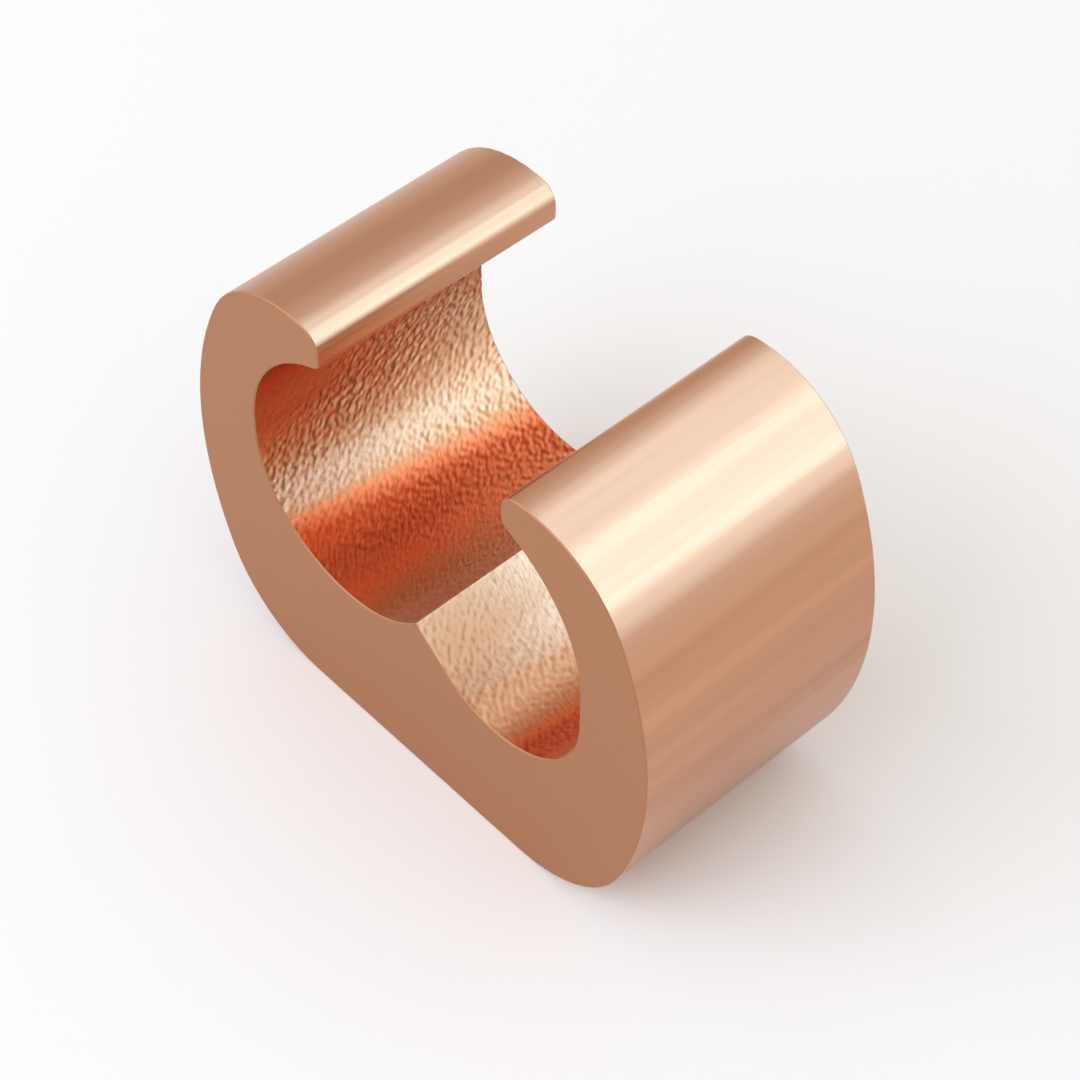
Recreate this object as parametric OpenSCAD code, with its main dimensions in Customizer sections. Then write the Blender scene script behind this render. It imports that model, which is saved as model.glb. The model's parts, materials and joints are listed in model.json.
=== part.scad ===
// C-type compression connector for joining a tap conductor to a run conductor.
// One length of copper extrusion: two round seats side by side, a ridge that keeps the conductors
// apart, and two lips that leave a mouth along the top, through which the conductors drop in.
// X runs across the two seats, Y along the conductors and Z up through the mouth.
// The origin is the middle of the flat underside.

/* [Body] */
// Width across both side walls
body_w = 30; // [27:0.5:40]
// Height from the flat underside to the tops of the lips
body_h = 24; // [22:0.5:30]
// Length cut from the extrusion
body_l = 14; // [8:1:60]
// Radius of the two corners beside the underside
corner_r = 6.8; // [4:0.2:8]
// Radius of the two shoulders above the side walls
shoulder_r = 6; // [4:0.2:8]
// Radius of the bow in the outer side walls
side_r = 20; // [15:1:60]

/* [Seats] */
// Thickness of each side wall at its thinnest
side_wall = 4.2; // [3:0.1:5.5]
// Radius of the run conductor's seat
run_r = 6.2; // [5:0.1:6.8]
// Thickness of metal under the run seat
run_floor = 8.1; // [5:0.1:9.5]
// Radius of the tap conductor's seat
tap_r = 5.4; // [4:0.1:6.5]
// Thickness of metal under the tap seat
tap_floor = 7.4; // [5:0.1:10]
// Slope of the two flanks of the ridge between the seats, in degrees
ridge_slope = 40; // [28:1:50]

/* [Lips] */
// Width of the mouth between the lips
mouth_w = 11.6; // [9:0.1:13]
// Fall of each lip's top from its shoulder to the mouth, in degrees
lip_droop = 6; // [0:1:12]
// Thickness of each lip at the mouth
lip_t = 1.9; // [1.2:0.1:3.5]
// Radius of the arch under each lip
arch_r = 7.4; // [5.6:0.1:8.5]
// Radius of each lip's outer edge
lip_outer_r = 1.1; // [0.4:0.1:1.2]
// Radius of each lip's inner edge
lip_inner_r = 0.6; // [0.2:0.1:0.8]

/* [Hidden] */
$fn = 96;

// Round forms that run into one another overlap by this much, so that their surfaces cross cleanly
hair = 0.005;
// How far a cut or a cutting outline runs past the surface that it meets
overrun = 1;

// Outer form, for the +X half: each corner arc lies inside the bowed side and runs into it
side_x = body_w / 2 - side_r;
function rise(r) = body_h / 2 - r;
function reach(r) = sqrt((side_r - r + hair) ^ 2 - rise(r) ^ 2);
function fan(r) = (side_r + overrun) / reach(r);
corner_x = side_x + reach(corner_r);
shoulder_x = side_x + reach(shoulder_r);
shoulder_z = body_h - shoulder_r;

// Lip top, for the +X half: it leaves the shoulder along a tangent and falls to the mouth.
// The block between the shoulders always reaches the mouth, which is cut from it later.
mouth_x = mouth_w / 2;
slope_x = shoulder_x - (shoulder_r - hair) * sin(lip_droop);
slope_z = shoulder_z + (shoulder_r - hair) * cos(lip_droop);
function lip_top(x) = slope_z - (slope_x - x) * tan(lip_droop);
block_x = max(slope_x, mouth_x - overrun);

// Inner form, for the +X half: the wall stands upright from the seat to the arch
wall_x = body_w / 2 - side_wall;
arch_x = wall_x - arch_r;
arch_z = lip_top(mouth_x) - lip_t - sqrt(arch_r ^ 2 - (mouth_x - arch_x) ^ 2);
function seat_x(seat_r) = wall_x - seat_r;
function seat_z(seat_r, floor_t) = floor_t + seat_r;
function wall_top(seat_r, floor_t) = max(arch_z, seat_z(seat_r, floor_t));

// Ridge: each flank leaves its seat along a tangent, and the flanks meet at the crest
function flank_x(seat_r) = seat_x(seat_r) - (seat_r - hair) * sin(ridge_slope);
function flank_z(seat_r, floor_t) = seat_z(seat_r, floor_t) - (seat_r - hair) * cos(ridge_slope);
run_flank = [-flank_x(run_r), flank_z(run_r, run_floor)];
tap_flank = [flank_x(tap_r), flank_z(tap_r, tap_floor)];
crest_x = (run_flank.x + tap_flank.x + (tap_flank.y - run_flank.y) / tan(ridge_slope)) / 2;
crest_z = run_flank.y + (crest_x - run_flank.x) * tan(ridge_slope);

// Lip edges, each no rounder than the lip's thickness allows
outer_edge_r = min(lip_outer_r, 0.6 * lip_t);
outer_edge_x = mouth_x + outer_edge_r;
outer_edge_z = lip_top(outer_edge_x) - (outer_edge_r - hair) / cos(lip_droop);
inner_edge_r = min(lip_inner_r, 0.35 * lip_t);
inner_edge_x = mouth_x + inner_edge_r;
inner_edge_reach = arch_r + inner_edge_r - hair;
inner_edge_z = arch_z + sqrt(inner_edge_reach ^ 2 - (inner_edge_x - arch_x) ^ 2);

// Draws its children on both sides of the middle
module both_sides() {
    for (side = [0, 1]) mirror([side, 0]) children();
}

// Solid outline of the extrusion before its grooves: a flat underside, round corners, bowed sides,
// and a top that falls from both shoulders to the middle
module outer_outline() {
    polygon([
        [-corner_x, 0],
        [corner_x, 0],
        [block_x, lip_top(block_x)],
        [0, lip_top(0)],
        [-block_x, lip_top(block_x)]
    ]);
    both_sides() {
        translate([corner_x, corner_r]) circle(corner_r);
        translate([shoulder_x, shoulder_z]) circle(shoulder_r);
        intersection() {
            translate([side_x, body_h / 2]) circle(side_r);
            translate([side_x, body_h / 2]) polygon([
                [0, 0],
                fan(corner_r) * [reach(corner_r), -rise(corner_r)],
                fan(shoulder_r) * [reach(shoulder_r), rise(shoulder_r)]
            ]);
            square([body_w, body_h]);
        }
    }
}

// Round seat that a conductor lies in, on the +X side
module seat(seat_r, floor_t) {
    translate([seat_x(seat_r), seat_z(seat_r, floor_t)]) circle(seat_r);
}

// Arched roof under a lip, on the +X side
module arch() {
    intersection() {
        translate([arch_x, arch_z]) circle(arch_r);
        translate([0, arch_z]) square([body_w / 2, body_h]);
    }
}

// Slivers that round the two edges of the lip, on the +X side
module lip_edges() {
    difference() {
        polygon([
            [outer_edge_x, outer_edge_z],
            [mouth_x - overrun, outer_edge_z],
            [mouth_x - overrun, body_h + overrun],
            [outer_edge_x, outer_edge_z] + (outer_edge_r + overrun) * [-sin(lip_droop), cos(lip_droop)]
        ]);
        translate([outer_edge_x, outer_edge_z]) circle(outer_edge_r);
    }
    difference() {
        polygon([
            [inner_edge_x, inner_edge_z],
            [mouth_x - overrun, inner_edge_z],
            [arch_x, arch_z]
        ]);
        translate([inner_edge_x, inner_edge_z]) circle(inner_edge_r);
    }
}

// Open space inside: both seats, the room above the ridge, the arches and the mouth
module inner_outline() {
    mirror([1, 0]) seat(run_r, run_floor);
    seat(tap_r, tap_floor);
    polygon([
        [-wall_x, seat_z(run_r, run_floor)],
        run_flank,
        [crest_x, crest_z],
        tap_flank,
        [wall_x, seat_z(tap_r, tap_floor)],
        [wall_x, wall_top(tap_r, tap_floor)],
        [-wall_x, wall_top(run_r, run_floor)]
    ]);
    both_sides() {
        arch();
        lip_edges();
    }
    translate([-mouth_x, arch_z]) square([mouth_w, body_h]);
}

module connector_body() {
    color("#B67F5E")
        rotate([90, 0, 0])
            linear_extrude(body_l, center = true)
                difference() {
                    outer_outline();
                    inner_outline();
                }
}

connector_body();
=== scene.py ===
import json
import math

import bpy
import numpy as np
from mathutils import Matrix, Vector


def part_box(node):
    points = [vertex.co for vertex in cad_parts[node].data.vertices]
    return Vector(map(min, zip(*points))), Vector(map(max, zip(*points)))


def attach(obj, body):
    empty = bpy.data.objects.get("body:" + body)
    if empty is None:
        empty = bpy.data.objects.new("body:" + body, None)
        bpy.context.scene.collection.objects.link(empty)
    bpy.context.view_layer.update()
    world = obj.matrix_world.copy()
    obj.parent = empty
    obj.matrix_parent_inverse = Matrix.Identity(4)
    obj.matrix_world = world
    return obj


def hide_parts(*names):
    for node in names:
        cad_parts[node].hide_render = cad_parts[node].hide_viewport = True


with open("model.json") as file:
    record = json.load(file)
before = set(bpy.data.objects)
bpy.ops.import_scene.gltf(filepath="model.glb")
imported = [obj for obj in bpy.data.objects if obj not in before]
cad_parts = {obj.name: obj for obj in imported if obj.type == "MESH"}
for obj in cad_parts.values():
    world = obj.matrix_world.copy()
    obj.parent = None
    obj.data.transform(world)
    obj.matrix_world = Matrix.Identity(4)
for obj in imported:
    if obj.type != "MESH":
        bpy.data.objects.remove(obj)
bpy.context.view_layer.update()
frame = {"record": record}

# Connector body
# The real piece is one length sawn from a C of extruded copper, so a single outline is carried along Y.
# The die leaves the outside smooth with faint draw lines, the walls inside are grained to grip the strands
# of the two conductors, and the sawn ends are flat and dull. Its sizes are in millimetres.
mm = 0.001
box_low, box_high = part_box("connector_body")
body_w = (box_high.x - box_low.x) / mm
body_l = (box_high.y - box_low.y) / mm
body_h = (box_high.z - box_low.z) / mm
seat = {m["name"]: m for m in frame["record"]["mounts"]}
run_r = seat["run_seat"]["dims"]["r_mm"]
run_z = seat["run_seat"]["pos_m"][2] / mm
tap_r = seat["tap_seat"]["dims"]["r_mm"]
tap_z = seat["tap_seat"]["pos_m"][2] / mm
corner_r = 6.8
shoulder_r = 6
side_r = 20
side_wall = 4.2
ridge_slope = 40
ridge_top_r = 0.04
mouth_w = 11.6
lip_droop = 6
lip_t = 1.9
arch_r = 7.4
lip_outer_r = 1.1
lip_inner_r = 0.6
end_edge = 0.06

# Places that follow from the sizes, for the half at +X
half_l = body_l / 2
wall_x = body_w / 2 - side_wall
mouth_x = mouth_w / 2
side_x = body_w / 2 - side_r
corner_rise = body_h / 2 - corner_r
corner_reach = math.sqrt((side_r - corner_r) ** 2 - corner_rise ** 2)
corner_x = side_x + corner_reach
corner_turn = math.degrees(math.atan2(corner_rise, corner_reach))
shoulder_rise = body_h / 2 - shoulder_r
shoulder_reach = math.sqrt((side_r - shoulder_r) ** 2 - shoulder_rise ** 2)
shoulder_x = side_x + shoulder_reach
shoulder_z = body_h - shoulder_r
shoulder_turn = math.degrees(math.atan2(shoulder_rise, shoulder_reach))
droop = math.radians(lip_droop)
droop_way = np.array([-math.sin(droop), math.cos(droop)])
slope = np.array([shoulder_x, shoulder_z]) + shoulder_r * droop_way
flank = math.radians(ridge_slope)
flank_way = np.array([math.sin(flank), math.cos(flank)])


def lip_top(x):
    """Height of a lip's top at x, where it falls from its shoulder to the mouth."""
    return slope[1] - (slope[0] - x) * math.tan(droop)


outer_edge = np.array([mouth_x + lip_outer_r, 0])
outer_edge[1] = lip_top(outer_edge[0]) - lip_outer_r / math.cos(droop)
arch_x = wall_x - arch_r
arch_z = lip_top(mouth_x) - lip_t - math.sqrt(arch_r ** 2 - (mouth_x - arch_x) ** 2)
inner_edge_x = mouth_x + lip_inner_r
inner_edge_z = arch_z + math.sqrt((arch_r + lip_inner_r) ** 2 - (inner_edge_x - arch_x) ** 2)
arch_turn = math.degrees(math.atan2(inner_edge_z - arch_z, inner_edge_x - arch_x))

# Spacing of the outline's points on the broad outside, the lips, the grained walls and the ridge's top,
# and spacing of the rows along Y
broad_step = 0.8
edge_step = 0.12
grain_step = 0.11
ridge_step = ridge_top_r / 6
row_step = 0.1


def line(start, end, step):
    """Straight stretch: start + t (end - start), t from 0 to 1 without the 1, and its normals."""
    run = np.subtract(end, start)
    length = np.hypot(*run)
    t = np.arange(n := max(1, round(length / step)))[:, None] / n
    normals = np.tile([run[1] / length, -run[0] / length], (n, 1))
    return np.hstack([start + t * run, normals])


def arc(centre, radius, start, end, step):
    """Round stretch: centre + radius (cos a, sin a), a from start to end degrees without the end.

    The normal is (cos a, sin a) where a rises, as on a round edge, and its opposite in a hollow."""
    n = max(2, round(radius * math.radians(abs(end - start)) / step))
    a = np.radians(start + (end - start) * np.arange(n) / n)
    radial = np.column_stack([np.cos(a), np.sin(a)])
    return np.hstack([centre + radius * radial, math.copysign(1, end - start) * radial])


def half_outline(seat_r, seat_z):
    """Outside and inside walls of the half at +X: from the middle of the underside up round the lip,
    and from the lip down the arch, the upright wall and the seat to the foot of the ridge."""
    seat_x = wall_x - seat_r
    outside = np.vstack([
        line((0, 0), (corner_x, 0), broad_step),
        arc((corner_x, corner_r), corner_r, -90, -corner_turn, broad_step),
        arc((side_x, body_h / 2), side_r, -corner_turn, shoulder_turn, broad_step),
        arc((shoulder_x, shoulder_z), shoulder_r, shoulder_turn, 90 + lip_droop, broad_step),
        line(slope, outer_edge + lip_outer_r * droop_way, edge_step),
        arc(outer_edge, lip_outer_r, 90 + lip_droop, 180, edge_step),
        line((mouth_x, outer_edge[1]), (mouth_x, inner_edge_z), edge_step),
        arc((inner_edge_x, inner_edge_z), lip_inner_r, 180, 180 + arch_turn, edge_step),
    ])
    inside = np.vstack([
        arc((arch_x, arch_z), arch_r, arch_turn, 0, grain_step),
        line((wall_x, arch_z), (wall_x, seat_z), grain_step),
        arc((seat_x, seat_z), seat_r, 0, -90 - ridge_slope, grain_step),
    ])
    foot = np.array([seat_x, seat_z]) - seat_r * flank_way
    return outside, inside, foot


def mirrored(stretch):
    """The same stretch on the -X side, run the other way so that the outline stays in order."""
    return (stretch * [-1, 1, -1, 1])[::-1]


def ridge(tap_foot, run_foot, ridge_x):
    """Both flanks, which rise at the ridge's slope, and the narrow round top where they meet."""
    ridge_z = run_foot[1] + (ridge_x - run_foot[0]) * math.tan(flank)
    centre = np.array([ridge_x, ridge_z - ridge_top_r / math.cos(flank)])
    return np.vstack([
        line(tap_foot, centre + ridge_top_r * flank_way, grain_step),
        arc(centre, ridge_top_r, 90 - ridge_slope, 90 + ridge_slope, ridge_step),
        line(centre + ridge_top_r * flank_way * [-1, 1], run_foot, grain_step),
    ])


tap_outside, tap_inside, tap_foot = half_outline(tap_r, tap_z)
run_outside, run_inside, run_foot = half_outline(run_r, run_z)
run_foot = run_foot * [-1, 1]
ridge_x = (run_foot[0] + tap_foot[0] + (tap_foot[1] - run_foot[1]) / math.tan(flank)) / 2
inside = np.vstack([tap_inside, ridge(tap_foot, run_foot, ridge_x), mirrored(run_inside)])
outline = np.vstack([tap_outside, inside, mirrored(run_outside)[:-1]])
columns = len(outline)
grained = np.zeros(columns, bool)
grained[len(tap_outside):len(tap_outside) + len(inside)] = True

# Grain: long bumps and hollows, which slant from the way round the wall towards +Y
bump_long = 0.3
bump_wide = 0.2
half_waves = (0.5, 1.7)
run_slant = math.radians(38)
tap_slant = math.radians(15)
grain_height = 0.024
grain_waves = 240
grain_seed = 5
lip_fade = 1.0


def grain(around, along, slant):
    """Height from -1 to 1, mostly near 0, on a grid of two lengths, round the wall and along it.

    It is a sum of plane waves with random directions and phases, cut off at twice its usual height.
    Each wave has a random number of half waves to a bump, between the two limits."""
    rng = np.random.default_rng(grain_seed)
    heading = rng.uniform(0, 2 * np.pi, grain_waves)
    pitch = rng.uniform(*half_waves, grain_waves) * np.pi
    phase = rng.uniform(0, 2 * np.pi, grain_waves)
    lengthways = pitch * np.cos(heading) / bump_long
    crossways = pitch * np.sin(heading) / bump_wide
    a = np.outer(around, lengthways * math.cos(slant) - crossways * math.sin(slant)) + phase
    b = np.outer(along, lengthways * math.sin(slant) + crossways * math.cos(slant))
    waves = (np.cos(a) @ np.cos(b).T - np.sin(a) @ np.sin(b).T) * math.sqrt(2 / grain_waves)
    return np.clip(waves / 2, -1, 1)


rows = np.linspace(-half_l + end_edge, half_l - end_edge, round(body_l / row_step))
path = np.concatenate([[0], np.cumsum(np.hypot(*np.diff(inside[:, :2], axis=0).T))])
fade = np.clip(np.minimum(path, path[-1] - path) / lip_fade, 0, 1)

# It is struck deepest in a strip that climbs the run seat's wall from the front to the back. Low in that
# seat it is light at the front and deeper at the back, and the tap seat is struck lightly all over.
strip_climb = 3
tap_struck = 0.3
in_run = inside[:, :1] < ridge_x
faces = np.degrees(np.arctan2(inside[:, 3:], inside[:, 2:3]))
strip = faces + strip_climb * rows
wall_struck = np.interp(strip, [-14, 4, 12, 26, 40], [0.3, 2.2, 2.2, 0.85, 0.45])
wall_struck *= np.interp(rows, [-half_l, 3], [0.6, 1.1])
low_struck = wall_struck * np.interp(rows, [-half_l, half_l], [0.5, 1.6])
low = np.interp(faces, [50, 65], [0, 1])
struck = np.where(in_run, wall_struck + low * (low_struck - wall_struck), tap_struck)
relief = np.zeros((columns, len(rows)))
relief[grained] = np.where(in_run, grain(path, rows, run_slant), grain(path, rows, tap_slant))
relief[grained] *= fade[:, None] * struck


def carried(outline, rows, relief):
    """The outline carried along Y: point (x, z) + height times its normal, at each row's y.

    Ring 0 and the last ring lie in the end faces, drawn into the metal by the width of the broken edge."""
    points, normals = outline[:, :2], outline[:, 2:]
    height = np.column_stack([relief[:, :1], relief, relief[:, -1:]]) * grain_height
    height[:, [0, -1]] -= end_edge
    y = np.concatenate([[-half_l], rows, [half_l]])
    xz = points[None] + height.T[:, :, None] * normals[None]
    return np.stack([xz[..., 0], np.broadcast_to(y[:, None], xz.shape[:2]), xz[..., 1]], axis=-1) * mm


rings = carried(outline, rows, relief)
ring_count = len(rings)
ring = np.arange(ring_count - 1)[:, None] * columns
column = np.arange(columns)[None]
following = (column + 1) % columns
quads = np.stack([
    ring + column,
    ring + columns + column,
    ring + columns + following,
    ring + following,
], axis=-1).reshape(-1, 4)
front_end = np.arange(columns)
back_end = ((ring_count - 1) * columns + np.arange(columns))[::-1]

mesh = bpy.data.meshes.new("connector")
mesh.from_pydata(rings.reshape(-1, 3), [], [*quads.tolist(), front_end.tolist(), back_end.tolist()])
connector = bpy.data.objects.new("connector", mesh)
bpy.context.scene.collection.objects.link(connector)

# The walls are smooth, and the ends and their broken edges meet them at sharp lines
smooth = np.ones(len(mesh.polygons), bool)
smooth[-2:] = False
mesh.polygons.foreach_set("use_smooth", smooth)
edge_ends = np.zeros(2 * len(mesh.edges), np.int32)
mesh.edges.foreach_get("vertices", edge_ends)
edge_ring = edge_ends.reshape(-1, 2) // columns
rims = [0, 1, ring_count - 2, ring_count - 1]
sharp = (edge_ring[:, 0] == edge_ring[:, 1]) & np.isin(edge_ring[:, 0], rims)
mesh.edges.foreach_set("use_edge_sharp", sharp)

# The grained wall rolled out flat, in millimetres along its bumps and across them
y = rings[:, 0, 1] / mm
around = np.zeros(columns)
around[grained] = path
slant = np.where(outline[:, 0] < ridge_x, run_slant, tap_slant)
lengthways = around * np.cos(slant) + y[:, None] * np.sin(slant)
crossways = y[:, None] * np.cos(slant) - around * np.sin(slant)
flat = np.stack([lengthways, crossways, np.zeros_like(lengthways)], axis=-1)
unrolled = mesh.attributes.new("unrolled", "FLOAT_VECTOR", "POINT")
unrolled.data.foreach_set("vector", flat.ravel())

# Painted light on the grained walls, set by the way that the wall faces: painted highlights, which stand in
# for reflections of the lamps, most on the tap seat's flank and in a band up the run seat that lies a
# little askew, and deep red painted shade where the seats are sheltered. The side of each bump which faces
# -Y gets more painted highlight, the side which faces +Y painted shade.
askew = 8
painted_side_share = 0.2
least_lean = -0.3
lean_scale = 0.8
back_part = y[:, None] / body_l + 0.5
facing = (np.degrees(np.arctan2(outline[:, 3], outline[:, 2])) + 90) % 360 - 90
facing = facing - askew * (2 * back_part - 1)
run_facing = [-20, -3, 27, 42, 52, 59, 66, 80, 100, 128]
run_front = np.interp(facing, run_facing, [0.08, 0.35, 0.46, 0.69, 0.56, 0.13, 0, 0.03, 0.28, 0.7])
run_back = np.interp(facing, run_facing, [0.12, 0.62, 0.53, 0.58, 0.5, 0.3, 0.07, 0.11, 0.46, 0.68])
run_painted_light = run_front + back_part * (run_back - run_front)
tap_painted_light = np.interp(facing, [57, 80, 105, 118, 132, 165], [1, 0.53, 0.47, 0.1, 0.12, 0.95])
painted_light = np.where(outline[:, 0] < ridge_x, run_painted_light, tap_painted_light) * grained
# Slope of each bump along Y, which sets painted highlight on the side facing -Y and painted shade on the
# side facing +Y
lean = lean_scale * bump_wide * np.gradient(relief, row_step, axis=1).T
painted_light[1:-1] += painted_side_share * np.clip(lean, least_lean, 1)
painted_light_layer = mesh.attributes.new("painted_light", "FLOAT", "POINT")
painted_light_layer.data.foreach_set("value", painted_light.ravel())

# How much each place lies on the side of a bump that faces +Y, which is given painted shade
painted_side_shade = np.zeros_like(painted_light)
painted_side_shade[1:-1] = np.clip(-lean, 0, 1)
shade = mesh.attributes.new("painted_side_shade", "FLOAT", "POINT")
shade.data.foreach_set("value", painted_side_shade.ravel())

# Finishes of the copper, in the order of the mesh's material slots
drawn_slot, grained_slot, sawn_slot = range(3)
finish = np.where(grained & np.roll(grained, -1), grained_slot, drawn_slot)
finish = np.tile(finish, (ring_count - 1, 1))
finish[[0, -1]] = sawn_slot
mesh.polygons.foreach_set("material_index", np.concatenate([finish.ravel(), [sawn_slot, sawn_slot]]))


def linear(hex_colour):
    """The sRGB colour #RRGGBB as linear red, green, blue and full alpha."""
    c = np.array([int(hex_colour[i:i + 2], 16) for i in (1, 3, 5)]) / 255
    return (*np.where(c <= 0.04045, c / 12.92, ((c + 0.055) / 1.055) ** 2.4), 1.0)


def add(tree, kind, sockets=None, **settings):
    """A new node with its settings; a socket is given a value or linked from another node's output."""
    node = tree.nodes.new(kind)
    for name, value in settings.items():
        setattr(node, name, value)
    for name, value in (sockets or {}).items():
        if isinstance(value, bpy.types.NodeSocket):
            tree.links.new(value, node.inputs[name])
        else:
            node.inputs[name].default_value = value
    return node


def new_finish(name):
    """The node tree of a new, empty material on the connector."""
    material = bpy.data.materials.new(name)
    material.use_nodes = True
    material.node_tree.nodes.clear()
    mesh.materials.append(material)
    return material.node_tree


def spread(tree, sizes, turn):
    """Object coordinates that count one for each size in millimetres, on X, Y and Z, turned about Y."""
    return add(tree, "ShaderNodeMapping", {
        "Vector": add(tree, "ShaderNodeTexCoord").outputs["Object"],
        "Scale": [1 / (size * mm) for size in sizes],
        "Rotation": (0, math.radians(turn), 0),
    }).outputs["Vector"]


def noise(tree, vector, detail):
    """Smooth noise from 0 to 1, about one unit of the vector wide."""
    return add(tree, "ShaderNodeTexNoise", {
        "Vector": vector, "Scale": 1, "Detail": detail,
    }).outputs["Fac"]


# Drawn copper: a satin skin from the die, with faint lines and broader streaks along Y.
# Real draw lines are too fine to show, so these are drawn a sixth of a millimetre apart.
line_gap = 0.16
line_run = 12
streak_gap = 1.3
streak_run = 60
tree = new_finish("drawn copper")
draw_lines = noise(tree, spread(tree, (line_gap, line_run, line_gap), 0), 3)
streaks = noise(tree, spread(tree, (streak_gap, streak_run, streak_gap), 0), 3)
tone = add(tree, "ShaderNodeMapRange", {
    "Value": streaks, "From Min": 0.3, "From Max": 0.7,
}).outputs["Result"]
copper = add(tree, "ShaderNodeMix", {
    "Factor": tone, "A": linear("#C18B6A"), "B": linear("#D09978"),
}, data_type="RGBA").outputs["Result"]
dull = add(tree, "ShaderNodeMapRange", {
    "Value": draw_lines, "To Min": 0.24, "To Max": 0.36,
}).outputs["Result"]
lined = add(tree, "ShaderNodeBump", {
    "Height": draw_lines, "Strength": 0.08, "Distance": 0.02 * mm,
}).outputs["Normal"]
skin = add(tree, "ShaderNodeBsdfPrincipled", {
    "Base Color": copper, "Metallic": 1.0, "Roughness": dull, "Normal": lined,
})
add(tree, "ShaderNodeOutputMaterial", {"Surface": skin.outputs["BSDF"]})

# Grained copper: pale painted highlights where it would reflect the lamps, deep red painted shade where the
# seats are sheltered, and brown painted shade on the side of each bump that faces +Y, with fine strokes all
# over
stroke_long = 0.45
stroke_wide = 0.18
tree = new_finish("grained copper")
painted_level = add(tree, "ShaderNodeAttribute", attribute_name="painted_light").outputs["Fac"]
side_shade = add(tree, "ShaderNodeAttribute", attribute_name="painted_side_shade").outputs["Fac"]
wall_place = add(tree, "ShaderNodeAttribute", attribute_name="unrolled").outputs["Vector"]
# Colours from deep red painted shade through orange and tan to a pale cream painted highlight
ramp = add(tree, "ShaderNodeValToRGB", {"Fac": painted_level})
stops = ramp.color_ramp.elements
stops[0].color = linear("#A83413")
stops[1].color = linear("#FFE2C0")
stops.new(0.5).color = linear("#CB885D")
stops.new(0.25).color = linear("#DC6E42")
# Brown painted shade on the side of each bump that faces +Y
side_shade_part = add(tree, "ShaderNodeMapRange", {"Value": side_shade, "To Max": 0.75}).outputs["Result"]
copper = add(tree, "ShaderNodeMix", {
    "Factor": side_shade_part, "A": ramp.outputs["Color"], "B": linear("#6A3018"),
}, data_type="RGBA").outputs["Result"]
stroke_place = add(tree, "ShaderNodeMapping", {
    "Vector": wall_place, "Scale": (stroke_long, stroke_wide, 1),
}, vector_type="TEXTURE").outputs["Vector"]
stroked = add(tree, "ShaderNodeBump", {
    "Height": noise(tree, stroke_place, 2), "Strength": 0.5, "Distance": 0.06 * mm,
}).outputs["Normal"]
dull = add(tree, "ShaderNodeMapRange", {
    "Value": painted_level, "From Min": 0.6, "To Min": 0.42, "To Max": 0.5,
}).outputs["Result"]
skin = add(tree, "ShaderNodeBsdfPrincipled", {
    "Base Color": copper, "Metallic": 1.0, "Roughness": dull, "Normal": stroked,
})
add(tree, "ShaderNodeOutputMaterial", {"Surface": skin.outputs["BSDF"]})

# Sawn copper: a dull, even cut with very fine marks of the blade's teeth, which run across the part.
# The noise is turned a little, so that its own grid doesn't line up with them.
mark_run = 6
mark_deep = 0.2
mark_gap = 0.12
grid_turn = 12
tree = new_finish("sawn copper")
tooth_marks = noise(tree, spread(tree, (mark_run, mark_deep, mark_gap), grid_turn), 2)
copper = add(tree, "ShaderNodeMix", {
    "Factor": tooth_marks, "A": linear("#B68361"), "B": linear("#BA8765"),
}, data_type="RGBA").outputs["Result"]
cut = add(tree, "ShaderNodeBump", {
    "Height": tooth_marks, "Strength": 0.06, "Distance": 0.02 * mm,
}).outputs["Normal"]
skin = add(tree, "ShaderNodeBsdfPrincipled", {
    "Base Color": copper, "Metallic": 1.0, "Roughness": 0.6, "Normal": cut,
})
add(tree, "ShaderNodeOutputMaterial", {"Surface": skin.outputs["BSDF"]})

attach(connector, "root")
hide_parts("connector_body")

# Floor
# A wide sheet of pale matt paper under the part, which takes its soft shadow. Its size is in metres.
floor_half = 3.0
floor_mesh = bpy.data.meshes.new("floor")
corner = np.array([[-1, -1], [1, -1], [1, 1], [-1, 1]]) * floor_half
floor_mesh.from_pydata(np.column_stack([corner, np.zeros(4)]), [], [(0, 1, 2, 3)])
floor = bpy.data.objects.new("floor", floor_mesh)
bpy.context.scene.collection.objects.link(floor)
paper = bpy.data.materials.new("matt paper")
paper.use_nodes = True
paper.node_tree.nodes.clear()
sheet = add(paper.node_tree, "ShaderNodeBsdfDiffuse", {"Color": linear("#FCFCFC")})
add(paper.node_tree, "ShaderNodeOutputMaterial", {"Surface": sheet.outputs["BSDF"]})
floor_mesh.materials.append(paper)

# Light
# An even white surround and one soft lamp light everything. Three cards behind the part, to its right and
# overhead, show only as reflections in the metal. Their cool tint keeps the highlights on copper pale.
world = bpy.data.worlds.new("white surround")
world.use_nodes = True
surround = world.node_tree.nodes["Background"]
surround.inputs["Color"].default_value = linear("#FFFAF4")
surround.inputs["Strength"].default_value = 0.8
bpy.context.scene.world = world


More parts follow.
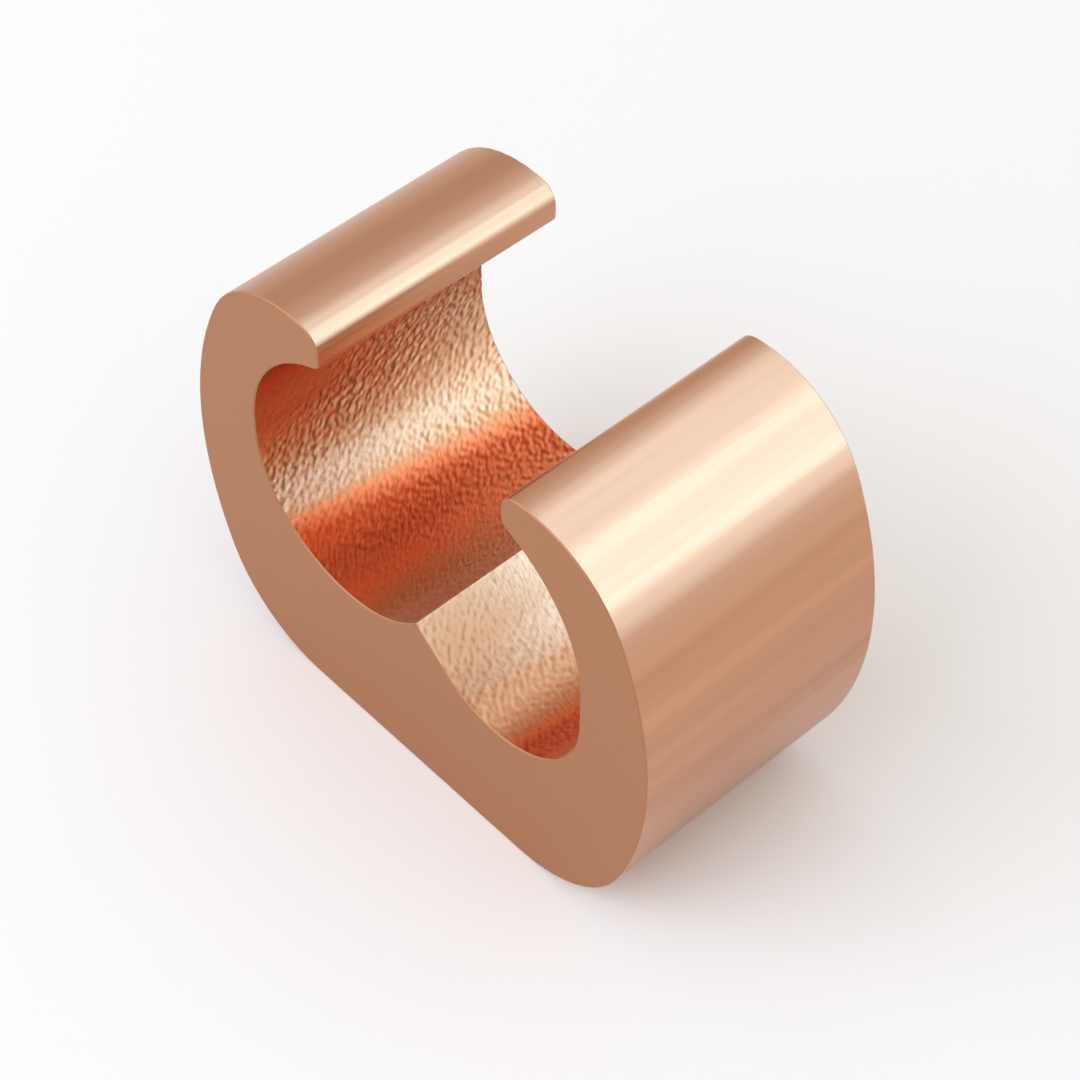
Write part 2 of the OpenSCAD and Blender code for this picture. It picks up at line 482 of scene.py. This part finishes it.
def panel(name, turn, lean, wide, tall, radiance, tint, lights_floor):
    """A soft panel that faces the part. Turn is its angle about the part's length, from +X up, and lean
    is its angle towards +Y. Wide is measured round that turn and tall across it, in degrees as the part
    sees it. A panel that doesn't light the floor shows only as a reflection."""
    distance = 0.6
    a, b = math.radians(turn), math.radians(lean)
    out = Vector((math.cos(a) * math.cos(b), math.sin(b), math.sin(a) * math.cos(b)))
    round_way = Vector((-math.sin(a), 0, math.cos(a)))
    lamp = bpy.data.lights.new(name, "AREA")
    lamp.shape = "RECTANGLE"
    lamp.size = 2 * distance * math.tan(math.radians(wide) / 2)
    lamp.size_y = 2 * distance * math.tan(math.radians(tall) / 2)
    lamp.energy = radiance * math.pi * lamp.size * lamp.size_y
    lamp.color = linear(tint)[:3]
    holder = bpy.data.objects.new(name, lamp)
    axes = Matrix((round_way, out.cross(round_way), out)).transposed().to_4x4()
    holder.matrix_world = Matrix.Translation(out * distance) @ axes
    holder.visible_camera = False
    holder.visible_diffuse = lights_floor
    bpy.context.scene.collection.objects.link(holder)


card_lean = 27
card_tall = 34
card_tint = "#9ED6FF"
panel("main card", 48, card_lean, 48, card_tall, 3.8, card_tint, lights_floor=False)
panel("low card", 7, card_lean, 34, card_tall, 2.1, card_tint, lights_floor=False)
panel("overhead card", 94.5, card_lean, 44, card_tall, 2.45, card_tint, lights_floor=False)
panel("soft lamp", 120, -50, 70, 40, 2.3, "#DDEBFF", lights_floor=True)

# Camera
# It looks down on the mouth from the front right, as in the photograph.
aim = Vector((0.972, -0.12, 11.32)) * mm
azimuth = math.radians(46.5)
elevation = math.radians(49.18)
roll = math.radians(0.94)
camera_distance = 140.66 * mm
sensor = 36
photo_side = 1080
focal_pixels = 3085.5
back = Vector((
    math.sin(azimuth) * math.cos(elevation),
    -math.cos(azimuth) * math.cos(elevation),
    math.sin(elevation),
))
level = Vector((math.cos(azimuth), math.sin(azimuth), 0))
up = back.cross(level)
right = level * math.cos(roll) + up * math.sin(roll)
camera_data = bpy.data.cameras.new("camera")
camera_data.sensor_width = sensor
camera_data.lens = focal_pixels * sensor / photo_side
camera_data.clip_start = 0.01
camera = bpy.data.objects.new("camera", camera_data)
camera.matrix_world = (
    Matrix.Translation(aim + back * camera_distance)
    @ Matrix((right, back.cross(right), back)).transposed().to_4x4()
)
bpy.context.scene.collection.objects.link(camera)
bpy.context.scene.camera = camera
bpy.context.scene.view_settings.view_transform = "Standard"
